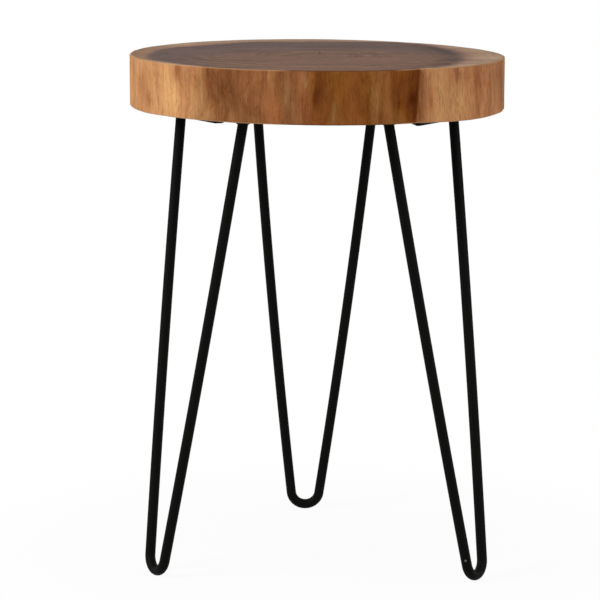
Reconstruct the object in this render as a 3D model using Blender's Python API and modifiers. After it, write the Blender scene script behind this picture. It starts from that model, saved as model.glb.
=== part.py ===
"""Rustic accent table: a slice of tree trunk standing on three steel hairpin legs.

Metres, +Z up. The origin is on the floor, in the middle of the three legs.
+X is to the table's right and -Y is its front.
"""
import math

import bmesh
import bpy
from mathutils import Vector

# The whole table
TABLE_HEIGHT = 0.508
GAP = 0.0003  # between pieces that touch

# Top: a debarked slice of trunk, a circle drawn out by three sets of lobes and cut in by one flute
SLAB_THICKNESS = 0.0508
SLAB_RADIUS = 0.1834
SLAB_LOBES = (  # lobes in the set, how far they stand out, direction of one of them in degrees
    (1, 0.0024, 172.1),
    (2, 0.0096, 136.6),
    (3, 0.0016, 99.3),
)
FLUTE_DIRECTION = math.radians(300.5)
FLUTE_DEPTH = 0.005
FLUTE_WIDTH = math.radians(5)  # the flute is 1/e as deep this far to either side
FLARE_DIRECTION = math.radians(316)  # the lobe beside the flute spreads towards the underside
FLARE_REACH = 0.005
FLARE_WIDTH = math.radians(14)
TOP_ARRIS = 0.002
BOTTOM_ARRIS = 0.001
TOP_ARRIS_SEGMENTS = 3
BOTTOM_ARRIS_SEGMENTS = 2
SLAB_POINTS = 120

# Hairpin legs, each one bent rod: side, direction in degrees, how far the foot strays outwards and
# along the leg's own width, how far the plate stands outwards from the line between its arms
LEGS = (
    ("left", 211.7, -0.0063, -0.0105, -0.008),
    ("right", 327.0, 0.0, 0.0, 0.004),
    ("back", 91.0, -0.0030, 0.0095, 0.0),
)
ROD_DIAMETER = 0.0101
ARM_INSET = 0.0632  # from the slab's mean rim to the arms, where they meet their plate
LEG_SPLAY = 0.0664  # from there outwards to the foot
ARM_SPACING = 0.1213  # between the two arms at the plate
ARM_BOW = 0.0023  # outwards, half-way down an arm
BEND_RADIUS = 0.0150  # of the rod's centre line at the foot
ARM_SEGMENTS = 8
BEND_SEGMENTS = 14
ROD_ROUNDNESS = 4

# Mounting plates, each cut from flat steel as one piece: a bar that carries both arms, a tab that
# spreads outwards from it to two pointed corners, and a tongue that reaches inwards
PLATE_THICKNESS = 0.004
BAR_WIDTH = 0.020
BAR_END_SEGMENTS = 10
TAB_REACH = 0.036  # from the line between the arms to the tab's outer edge
TAB_LENGTH = 0.134
TAB_SHIFT = -0.0075  # of the tab's middle along the plate
TAB_CORNER_RADIUS = 0.0020
TAB_CORNER_SEGMENTS = 3
TONGUE_REACH = 0.036
TONGUE_LENGTH = 0.084
TONGUE_CORNER_RADIUS = 0.010
TONGUE_CORNER_SEGMENTS = 5
SCREW_TAB_INSET = 0.020  # from the tab's outer edge to the outer screws
SCREW_ROW_SPACING = 0.040
SCREW_SPACING = 0.060  # along the plate
SCREW_HOLE_CLEARANCE = 0.0004

# Fillet welds round the tops of the arms
WELD_LEG = 0.0042
WELD_TOE = 0.0004  # thickness of the bead where it runs out along the rod
WELD_ARC_SEGMENTS = 4

# Pan-head wood screws
SCREW_LENGTH = 0.030
SCREW_DIAMETER = 0.0048
SCREW_POINT_LENGTH = 0.007
SCREW_HEAD_DIAMETER = 0.0095
SCREW_HEAD_HEIGHT = 0.0032
SCREW_HEAD_EDGE = 0.0010  # straight rim of the head, under its dome
SCREW_DOME_SEGMENTS = 3
PILOT_EXTRA_DEPTH = 0.001

TURNED_STEPS = 24
SCREW_STEPS = 16
MERGE_DISTANCE = 0.00001
CREASE_ANGLE = math.radians(35)

# Levels, from the top down, and the sizes that follow from those above
SLAB_UNDERSIDE = TABLE_HEIGHT - SLAB_THICKNESS
PLATE_TOP = SLAB_UNDERSIDE - GAP
PLATE_UNDERSIDE = PLATE_TOP - PLATE_THICKNESS
SEAT_LEVEL = PLATE_UNDERSIDE - GAP  # of the rods, welds and screw heads
ROD_RADIUS = ROD_DIAMETER / 2
PLATE_CIRCLE_RADIUS = SLAB_RADIUS - ARM_INSET
FOOT_CIRCLE_RADIUS = PLATE_CIRCLE_RADIUS + LEG_SPLAY
PLATE_LENGTH = ARM_SPACING + BAR_WIDTH


def clear_scene():
    for old in list(bpy.data.objects):
        bpy.data.objects.remove(old, do_unlink=True)


def new_collection(name):
    collection = bpy.data.collections.new(name)
    bpy.context.scene.collection.children.link(collection)
    return collection


def new_finish(name, colour, roughness, metallic):
    finish = bpy.data.materials.new(name)
    finish.use_nodes = True
    shader = finish.node_tree.nodes["Principled BSDF"]
    shader.inputs["Base Color"].default_value = (*colour, 1)
    shader.inputs["Roughness"].default_value = roughness
    shader.inputs["Metallic"].default_value = metallic
    return finish


def new_object(name, data, collection, parent=None, finish=None):
    piece = bpy.data.objects.new(name, data)
    collection.objects.link(piece)
    piece.parent = parent
    if finish:
        data.materials.append(finish)
    return piece


def new_cutter(name, mesh, parent=None):
    cutter = new_object(name, mesh, cutters, parent)
    cutter.hide_render = True
    cutter.display_type = "WIRE"
    return cutter


def cut(piece, cutter):
    difference = piece.modifiers.new(cutter.name, "BOOLEAN")
    difference.operation = "DIFFERENCE"
    difference.solver = "EXACT"
    difference.object = cutter


def mesh_from(shape, name, smooth=True):
    """Turn a bmesh into a mesh, and free it."""
    mesh = bpy.data.meshes.new(name)
    shape.to_mesh(mesh)
    shape.free()
    if smooth:
        mesh.shade_smooth()
        mesh.set_sharp_from_angle(angle=CREASE_ANGLE)
    return mesh


def turn(piece, steps):
    """Turn a profile drawn at +X into a solid round its own Z axis."""
    lathe = piece.modifiers.new("turned", "SCREW")
    lathe.steps = steps
    lathe.render_steps = steps
    lathe.use_merge_vertices = True
    lathe.merge_threshold = MERGE_DISTANCE
    lathe.use_smooth_shade = True


def profile_mesh(name, points, closed):
    """A line of edges in the XZ plane, for turning."""
    shape = bmesh.new()
    corners = [shape.verts.new((x, 0, z)) for x, z in points]
    for start, end in zip(corners, corners[1:]):
        shape.edges.new((start, end))
    if closed:
        shape.edges.new((corners[-1], corners[0]))
    return mesh_from(shape, name, smooth=False)


def box_mesh(name, size, centre):
    shape = bmesh.new()
    bmesh.ops.create_cube(shape, size=1)
    bmesh.ops.scale(shape, vec=size, verts=shape.verts)
    bmesh.ops.translate(shape, vec=centre, verts=shape.verts)
    return mesh_from(shape, name, smooth=False)


def round_over(shape, edges, radius, segments):
    bmesh.ops.bevel(shape, geom=edges, offset=radius, segments=segments, profile=0.5, affect="EDGES")


def slab_radius(angle):
    """Radius of the trunk's outline in one direction, at the table's top."""
    radius = SLAB_RADIUS
    for count, height, direction in SLAB_LOBES:
        radius += height * math.cos(count * (angle - math.radians(direction)))
    from_flute = math.remainder(angle - FLUTE_DIRECTION, math.tau)
    return radius - FLUTE_DEPTH * math.exp(-abs(from_flute) / FLUTE_WIDTH)


def slab_flare(angle):
    """How much wider the underside is than the top, in one direction."""
    from_flare = math.remainder(angle - FLARE_DIRECTION, math.tau)
    return FLARE_REACH * math.exp(-((from_flare / FLARE_WIDTH) ** 2))


def set_ring(corners, level, flared):
    """Move a ring of corners out to the trunk's outline."""
    for corner in corners:
        angle = math.atan2(corner.co.y, corner.co.x)
        radius = slab_radius(angle) + flared * slab_flare(angle)
        corner.co = (radius * math.cos(angle), radius * math.sin(angle), level)


def rim_edges(shape, level):
    return [
        edge
        for edge in shape.edges
        if all(abs(corner.co.z - level) < MERGE_DISTANCE for corner in edge.verts)
    ]


def make_slab(finish):
    shape = bmesh.new()
    bmesh.ops.create_circle(shape, cap_ends=True, radius=SLAB_RADIUS, segments=SLAB_POINTS)
    lower = shape.verts[:]
    raised = bmesh.ops.extrude_face_region(shape, geom=shape.faces[:])["geom"]
    upper = [corner for corner in raised if isinstance(corner, bmesh.types.BMVert)]
    set_ring(lower, SLAB_UNDERSIDE, flared=1)
    set_ring(upper, TABLE_HEIGHT, flared=0)
    bmesh.ops.recalc_face_normals(shape, faces=shape.faces)
    round_over(shape, rim_edges(shape, TABLE_HEIGHT), TOP_ARRIS, TOP_ARRIS_SEGMENTS)
    round_over(shape, rim_edges(shape, SLAB_UNDERSIDE), BOTTOM_ARRIS, BOTTOM_ARRIS_SEGMENTS)
    return new_object("top_slab", mesh_from(shape, "top_slab"), parts, finish=finish)


def tangent_angle(point, centre, side):
    """Where an arm coming from point runs into the bend, as an angle round the bend's centre."""
    away = point - centre
    return math.atan2(away.y, away.x) - side * math.acos(BEND_RADIUS / away.length)


def rod_path(foot_out, foot_along):
    """Centre line of a leg, from the top of one arm round the foot to the top of the other.

    The leg's own frame has +X outwards from the table's middle and +Y along the plate.
    """
    foot = Vector((FOOT_CIRCLE_RADIUS + foot_out, 0, ROD_RADIUS))
    crown = Vector((PLATE_CIRCLE_RADIUS, 0, SEAT_LEVEL))
    across = Vector((0, 1, 0))
    up = (crown - foot).normalized()
    length = (crown - foot).length

    def in_space(flat):
        return foot + across * flat.x + up * flat.y

    centre = Vector((foot_along, BEND_RADIUS))
    arms = {}
    angles = {}
    for side in (1, -1):
        top = Vector((side * ARM_SPACING / 2, length))
        angles[side] = tangent_angle(top, centre, side)
        bottom = centre + BEND_RADIUS * Vector((math.cos(angles[side]), math.sin(angles[side])))
        arm = []
        for step in range(ARM_SEGMENTS):
            share = step / ARM_SEGMENTS
            bow = Vector((side * ARM_BOW * 4 * share * (1 - share), 0))
            arm.append(top.lerp(bottom, share) + bow)
        arms[side] = arm
    start = angles[1]
    sweep = (angles[-1] - start) % math.tau - math.tau
    bend = []
    for step in range(BEND_SEGMENTS + 1):
        angle = start + sweep * step / BEND_SEGMENTS
        bend.append(centre + BEND_RADIUS * Vector((math.cos(angle), math.sin(angle))))
    return [in_space(flat) for flat in arms[1] + bend + arms[-1][::-1]]


def past_plate(path):
    """Lengthen both ends of a path, so that the rod can be trimmed level with its plate."""
    first = path[0] + (path[0] - path[1]).normalized() * ROD_DIAMETER
    last = path[-1] + (path[-1] - path[-2]).normalized() * ROD_DIAMETER
    return [first, *path, last]


def make_rod(name, path, hub, trim, finish):
    curve = bpy.data.curves.new(name, "CURVE")
    curve.dimensions = "3D"
    curve.bevel_depth = ROD_RADIUS
    curve.bevel_resolution = ROD_ROUNDNESS
    curve.use_fill_caps = True
    points = past_plate(path)
    spline = curve.splines.new("POLY")
    spline.points.add(len(points) - 1)
    for point, place in zip(spline.points, points):
        point.co = (*place, 1)
    bent = new_object(name + "_line", curve, parts, hub)
    bpy.context.view_layer.update()
    evaluated = bent.evaluated_get(bpy.context.evaluated_depsgraph_get())
    tube = bpy.data.meshes.new_from_object(evaluated)
    shape = bmesh.new()
    shape.from_mesh(tube)
    bmesh.ops.remove_doubles(shape, verts=shape.verts, dist=MERGE_DISTANCE)
    rod = new_object(name, mesh_from(shape, name), parts, hub, finish)
    rod.matrix_world = bent.matrix_world
    bpy.data.objects.remove(bent)
    bpy.data.meshes.remove(tube)
    cut(rod, trim)


def make_weld(name, path, hub, trim, finish):
    """A fillet round the arm whose top is the first point of path."""
    inner = ROD_RADIUS + GAP
    outer = inner + WELD_LEG
    hollow = WELD_LEG - WELD_TOE
    points = [(outer, WELD_LEG)]
    for step in range(WELD_ARC_SEGMENTS + 1):
        turn_by = math.pi / 2 * step / WELD_ARC_SEGMENTS
        points.append((outer - hollow * math.sin(turn_by), hollow * (math.cos(turn_by) - 1)))
    points.append((inner, -hollow))
    points.append((inner, WELD_LEG))
    weld = new_object(name, profile_mesh(name, points, closed=True), parts, hub, finish)
    weld.location = path[0]
    weld.rotation_euler = (path[0] - path[1]).to_track_quat("Z", "Y").to_euler()
    turn(weld, TURNED_STEPS)
    cut(weld, trim)


def screw_places(plate_out):
    """Middles of a plate's four screws, in the leg's own frame."""
    outer = PLATE_CIRCLE_RADIUS + TAB_REACH + plate_out - SCREW_TAB_INSET
    inner = outer - SCREW_ROW_SPACING
    return [(x, y) for x in (inner, outer) for y in (-SCREW_SPACING / 2, SCREW_SPACING / 2)]


def hole_mesh(name, plate_out, radius, low, high):
    """Four round holes, one for each screw of a plate."""
    shape = bmesh.new()
    for x, y in screw_places(plate_out):
        drill = bmesh.ops.create_cone(
            shape,
            cap_ends=True,
            segments=TURNED_STEPS,
            radius1=radius,
            radius2=radius,
            depth=high - low,
        )
        bmesh.ops.translate(shape, vec=(x, y, (low + high) / 2), verts=drill["verts"])
    return mesh_from(shape, name, smooth=False)


def plate_outline(plate_out):
    """Corners of a plate, measured from the middle of the line between the arms."""
    half_bar = BAR_WIDTH / 2
    tab_edge = TAB_REACH + plate_out
    tongue_edge = plate_out - TONGUE_REACH
    outline = []
    for side in (1, -1):
        tip = TAB_SHIFT + side * TAB_LENGTH / 2
        half = [(tab_edge, tip), (half_bar, tip - side * (tab_edge - half_bar))]
        for step in range(BAR_END_SEGMENTS + 1):
            turn_by = math.pi * step / BAR_END_SEGMENTS
            along = ARM_SPACING / 2 + half_bar * math.sin(turn_by)
            half.append((half_bar * math.cos(turn_by), side * along))
        half.append((-half_bar, side * TONGUE_LENGTH / 2))
        half.append((tongue_edge, side * TONGUE_LENGTH / 2))
        outline += half[::side]
    return outline


def make_plate(name, plate_out, hub, finish):
    shape = bmesh.new()
    corners = [shape.verts.new((x, y, 0)) for x, y in plate_outline(plate_out)]
    face = shape.faces.new(corners)
    raised = bmesh.ops.extrude_face_region(shape, geom=[face])["geom"]
    upper = [corner for corner in raised if isinstance(corner, bmesh.types.BMVert)]
    bmesh.ops.translate(shape, vec=(0, 0, PLATE_THICKNESS), verts=upper)
    bmesh.ops.recalc_face_normals(shape, faces=shape.faces)
    upright = [edge for edge in shape.edges if edge.verts[0].co.xy == edge.verts[1].co.xy]
    tab_edge = TAB_REACH + plate_out - MERGE_DISTANCE
    tongue_edge = plate_out - TONGUE_REACH + MERGE_DISTANCE
    tips = [edge for edge in upright if edge.verts[0].co.x > tab_edge]
    inner = [edge for edge in upright if edge.verts[0].co.x < tongue_edge]
    round_over(shape, tips, TAB_CORNER_RADIUS, TAB_CORNER_SEGMENTS)
    inner = [edge for edge in inner if edge.is_valid]
    round_over(shape, inner, TONGUE_CORNER_RADIUS, TONGUE_CORNER_SEGMENTS)
    plate = new_object(name, mesh_from(shape, name), parts, hub, finish)
    plate.location = (PLATE_CIRCLE_RADIUS, 0, PLATE_UNDERSIDE)
    radius = SCREW_DIAMETER / 2 + SCREW_HOLE_CLEARANCE
    low = PLATE_UNDERSIDE - PLATE_THICKNESS
    high = PLATE_TOP + PLATE_THICKNESS
    holes = hole_mesh(name + "_holes", plate_out, radius, low, high)
    cut(plate, new_cutter(name + "_holes", holes, hub))


def drill_slab(slab, side, plate_out, hub):
    """Pilot holes for one plate's screws, up into the slab."""
    name = side + "_pilot_holes"
    low = SLAB_UNDERSIDE - SCREW_DIAMETER
    high = SEAT_LEVEL + SCREW_LENGTH + PILOT_EXTRA_DEPTH
    holes = hole_mesh(name, plate_out, SCREW_DIAMETER / 2 + GAP, low, high)
    cut(slab, new_cutter(name, holes, hub))


def make_screws(side, plate_out, hub, finish):
    shank = SCREW_DIAMETER / 2
    head = SCREW_HEAD_DIAMETER / 2
    dome = SCREW_HEAD_HEIGHT - SCREW_HEAD_EDGE
    points = [
        (0, SCREW_LENGTH),
        (shank, SCREW_LENGTH - SCREW_POINT_LENGTH),
        (shank, 0),
        (head, 0),
    ]
    for step in range(SCREW_DOME_SEGMENTS):
        turn_by = math.pi / 2 * step / SCREW_DOME_SEGMENTS
        points.append((head * math.cos(turn_by), -SCREW_HEAD_EDGE - dome * math.sin(turn_by)))
    points.append((0, -SCREW_HEAD_HEIGHT))
    for number, (x, y) in enumerate(screw_places(plate_out), start=1):
        name = f"{side}_leg_screw_{number}"
        screw = new_object(name, profile_mesh(name, points, closed=False), parts, hub, finish)
        screw.location = (x, y, SEAT_LEVEL)
        turn(screw, SCREW_STEPS)


def make_leg(side, direction, foot_out, foot_along, plate_out, slab, trim, finishes):
    hub = new_object(side + "_leg", None, parts)
    hub.rotation_euler = (0, 0, math.radians(direction))
    path = rod_path(foot_out, foot_along)
    make_plate(side + "_leg_plate", plate_out, hub, finishes["plate"])
    make_rod(side + "_leg_rod", path, hub, trim, finishes["rod"])
    make_weld(side + "_leg_weld_1", path, hub, trim, finishes["weld"])
    make_weld(side + "_leg_weld_2", path[::-1], hub, trim, finishes["weld"])
    make_screws(side, plate_out, hub, finishes["screw"])
    drill_slab(slab, side, plate_out, hub)


def make_trim():
    """Everything above the plates' undersides, where the rods and welds are cut level."""
    reach = 2 * (PLATE_CIRCLE_RADIUS + PLATE_LENGTH)
    height = TABLE_HEIGHT - SEAT_LEVEL
    centre = (0, 0, SEAT_LEVEL + height / 2)
    return new_cutter("above_the_rods", box_mesh("above_the_rods", (reach, reach, height), centre))


clear_scene()
parts = new_collection("accent_table")
cutters = new_collection("cutters")
slab_finish = new_finish("oiled hardwood", (0.27, 0.11, 0.045), 0.45, 0.0)
leg_finishes = {
    "plate": new_finish("black powder-coated plate", (0.008, 0.008, 0.008), 0.5, 0.0),
    "rod": new_finish("black powder-coated rod", (0.008, 0.008, 0.008), 0.45, 0.0),
    "weld": new_finish("black powder-coated weld", (0.008, 0.008, 0.008), 0.55, 0.0),
    "screw": new_finish("black oxide screw steel", (0.02, 0.02, 0.02), 0.4, 1.0),
}
top_slab = make_slab(slab_finish)
trim_block = make_trim()
for leg in LEGS:
    make_leg(*leg, top_slab, trim_block, leg_finishes)
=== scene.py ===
# %% [markdown]
# Accent table: a slice of tree trunk on three hairpin legs.
#
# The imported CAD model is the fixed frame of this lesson. It gives every piece its place in metres, and
# each step below dresses one kind of piece: the trunk slice, the bent rods, the plates, the weld beads
# and the screws. Nothing on this table moves, so all of it rides on the one body, root.

# %% Load the frame
import math

import bmesh
import bpy
import numpy as np
from mathutils import Matrix, Vector


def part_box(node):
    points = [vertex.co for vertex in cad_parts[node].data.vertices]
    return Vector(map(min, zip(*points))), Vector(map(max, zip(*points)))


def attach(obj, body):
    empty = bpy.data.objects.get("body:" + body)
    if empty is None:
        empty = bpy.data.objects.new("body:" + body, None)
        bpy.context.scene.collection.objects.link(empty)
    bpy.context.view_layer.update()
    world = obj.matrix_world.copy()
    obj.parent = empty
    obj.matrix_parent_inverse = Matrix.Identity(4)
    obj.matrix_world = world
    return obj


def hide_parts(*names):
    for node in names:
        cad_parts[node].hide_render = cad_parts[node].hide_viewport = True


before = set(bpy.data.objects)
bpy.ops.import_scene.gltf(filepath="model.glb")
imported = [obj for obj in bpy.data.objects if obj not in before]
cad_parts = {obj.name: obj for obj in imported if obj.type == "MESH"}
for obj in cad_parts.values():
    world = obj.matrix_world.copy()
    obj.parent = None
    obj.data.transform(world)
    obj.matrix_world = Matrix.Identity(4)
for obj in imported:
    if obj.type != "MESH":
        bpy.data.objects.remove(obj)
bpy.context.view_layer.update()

MM = 0.001
scene = bpy.context.scene

# %% [markdown]
# Every material and every Geometry Nodes tree in this lesson is a graph of nodes. Writing each node in
# three lines would hide the design, so one small function adds a node, sets its settings and links its
# inputs. Colours are written as the sRGB hex values a painter would read off a chart, and one function
# turns them into the linear light that Blender computes with. The scale of a pattern comes from the size
# of its features in millimetres. Three more helpers make a mesh, put an object into the scene and shade
# a mesh smooth, because every piece needs them.

# %% Helpers for every graph
def feed(tree, node, inputs):
    """Fill a node's inputs. A plain value is set; another node's output, or a list of them, is linked."""
    for socket, value in inputs.items():
        if isinstance(value, (bpy.types.NodeSocket, list)):
            for source in value if isinstance(value, list) else [value]:
                tree.links.new(source, node.inputs[socket])
        else:
            node.inputs[socket].default_value = value


def add(tree, kind, inputs=None, out=0, **settings):
    """Add a node with its settings and inputs. The chosen output comes back."""
    node = tree.nodes.new(kind)
    for name, value in settings.items():
        setattr(node, name, value)
    feed(tree, node, inputs or {})
    return node.outputs[out] if len(node.outputs) else node


def colour(code):
    """Linear RGBA from an sRGB hex code."""
    parts = [int(code[i : i + 2], 16) / 255 for i in (1, 3, 5)]
    linear = [p / 12.92 if p <= 0.04045 else ((p + 0.055) / 1.055) ** 2.4 for p in parts]
    return (*linear, 1.0)


def new_finish(name):
    """An empty material with its shader, named for the real finish."""
    finish = bpy.data.materials.new(name)
    finish.use_nodes = True
    tree = finish.node_tree
    return finish, tree, tree.nodes["Principled BSDF"]


def per_mm(size):
    """A texture scale for features of this size in millimetres, on coordinates in metres."""
    return 1000 / size


print("sapwood tan in linear light:", [round(c, 3) for c in colour("#A68467")])

# %% Helpers for meshes and objects
def new_mesh(name, places, edges=(), faces=()):
    """A mesh of points, with edges or faces between them."""
    mesh = bpy.data.meshes.new(name)
    mesh.from_pydata(places, edges, faces)
    return mesh


def put(name, data):
    """An object at the origin that shows this mesh, lamp or camera."""
    thing = bpy.data.objects.new(name, data)
    scene.collection.objects.link(thing)
    return thing


def smooth(mesh, sharp):
    """Shade a mesh smooth, apart from edges that turn by more than this angle in degrees."""
    mesh.shade_smooth()
    mesh.set_sharp_from_angle(angle=math.radians(sharp))


# %% [markdown]
# The top is one slice of trunk, 50 mm thick, debarked and sanded. Its outline is the tree's own: a
# rounded shape with a few wide lobes, one sharp fold in the side, and a foot that spreads a little
# beside the fold. The CAD slab has this outline at 120 points; here the same rule is sampled finely.
# A filled curve would give the outline alone. This mesh is laid out the way the tree grew: its columns
# run from the pith to the rim, so every point knows how far through the growth rings it lies, and the
# wood's colours can follow that.

# %% Sizes of the trunk slice
TABLE_HEIGHT, SLAB_THICKNESS = 0.508, 0.0508
SLAB_UNDERSIDE = TABLE_HEIGHT - SLAB_THICKNESS
SLAB_RADIUS = 0.1834
SLAB_LOBES = ((1, 0.0024, 172.1), (2, 0.0096, 136.6), (3, 0.0016, 99.3))  # count, height, direction
FLUTE_DIRECTION, FLUTE_DEPTH, FLUTE_WIDTH, FLUTE_LEAN = 301.1, 0.005, 5, 1.3
FLARE_DIRECTION, FLARE_REACH, FLARE_WIDTH = 316, 0.005, 14
TOP_ARRIS, BOTTOM_ARRIS = 0.0020, 0.0010
PITH = np.array((3 * MM, -22 * MM))
COLUMNS = 640
TOP_RINGS, ARRIS_ROWS, SIDE_ROWS, UNDER_RINGS = 36, 6, 34, 12
SWELLS = (  # waves round the trunk, height in millimetres, phase, twist from top to underside
    (9, 0.40, 0.8, 0.5),
    (16, 0.30, 2.1, -0.9),
    (27, 0.20, 4.0, 1.2),
    (44, 0.12, 5.3, -1.6),
    (71, 0.07, 1.4, 2.2),
)
print("trunk slice:", round(SLAB_THICKNESS / MM, 1), "mm thick,", round(2 * SLAB_RADIUS / MM), "mm across")

# %% The outline's rule
def turned(direction, centre):
    """Degrees from a direction round to another, from -180 to 180."""
    return (direction - centre + 180) % 360 - 180


def rim_radius(direction, drop):
    """Radius of the trunk in a direction in degrees; drop is 0 at the top and 1 at the underside."""
    radius = SLAB_RADIUS + 0 * direction
    for count, height, lobe in SLAB_LOBES:
        radius = radius + height * np.cos(np.radians(count * (direction - lobe)))
    from_flute = turned(direction, FLUTE_DIRECTION - FLUTE_LEAN * drop)
    radius = radius - FLUTE_DEPTH * np.exp(-np.abs(from_flute) / FLUTE_WIDTH)
    from_flare = turned(direction, FLARE_DIRECTION)
    return radius + drop * FLARE_REACH * np.exp(-((from_flare / FLARE_WIDTH) ** 2))


def swell(direction, drop):
    """The shallow waves that the wood keeps under its bark, in metres."""
    waves = 0 * direction
    for count, height, phase, twist in SWELLS:
        waves = waves + height * MM * np.sin(np.radians(count * direction) + phase + twist * drop)
    return waves


directions = np.arange(COLUMNS) * 360 / COLUMNS
outline = rim_radius(directions, 0)
print("outline from", round(outline.min() / MM, 1), "to", round(outline.max() / MM, 1), "mm from the middle")

# %% [markdown]
# A trunk has pale sapwood under the bark and darker heartwood inside, and their border wanders. At the
# front the saw and the drawknife went through to the heartwood, so the side is dark there; to the left
# and right the sapwood is some centimetres thick. A short list of widths round the trunk says this, and
# a longer one names the streaks that the eye picks out on the side. Painting them by hand would do, but
# a row in a list can be read and mended. The photo shows the front alone, so the rows of the back are
# made up to go with it. Both lists become attributes on the mesh, which the wood's material reads.

# %% Where the wood changes
SAPWOOD = (  # direction in degrees, width of the sapwood in millimetres; below zero the heart is bare
    (0, 42), (15, 37), (28, 30), (38, 24), (51, 14), (62, 13), (75, 24), (88, 32), (100, 34), (111, 31),
    (120, 33), (130, 38), (140, 36), (151, 28), (162, 22), (175, 22), (193, 10), (206, 7), (220, 6),
    (227, 3), (233, -4), (246, -6), (300.5, -8), (302.2, 6), (307, 8), (313.4, 15), (321, 25), (332, 36),
    (346, 42),
)
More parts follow.
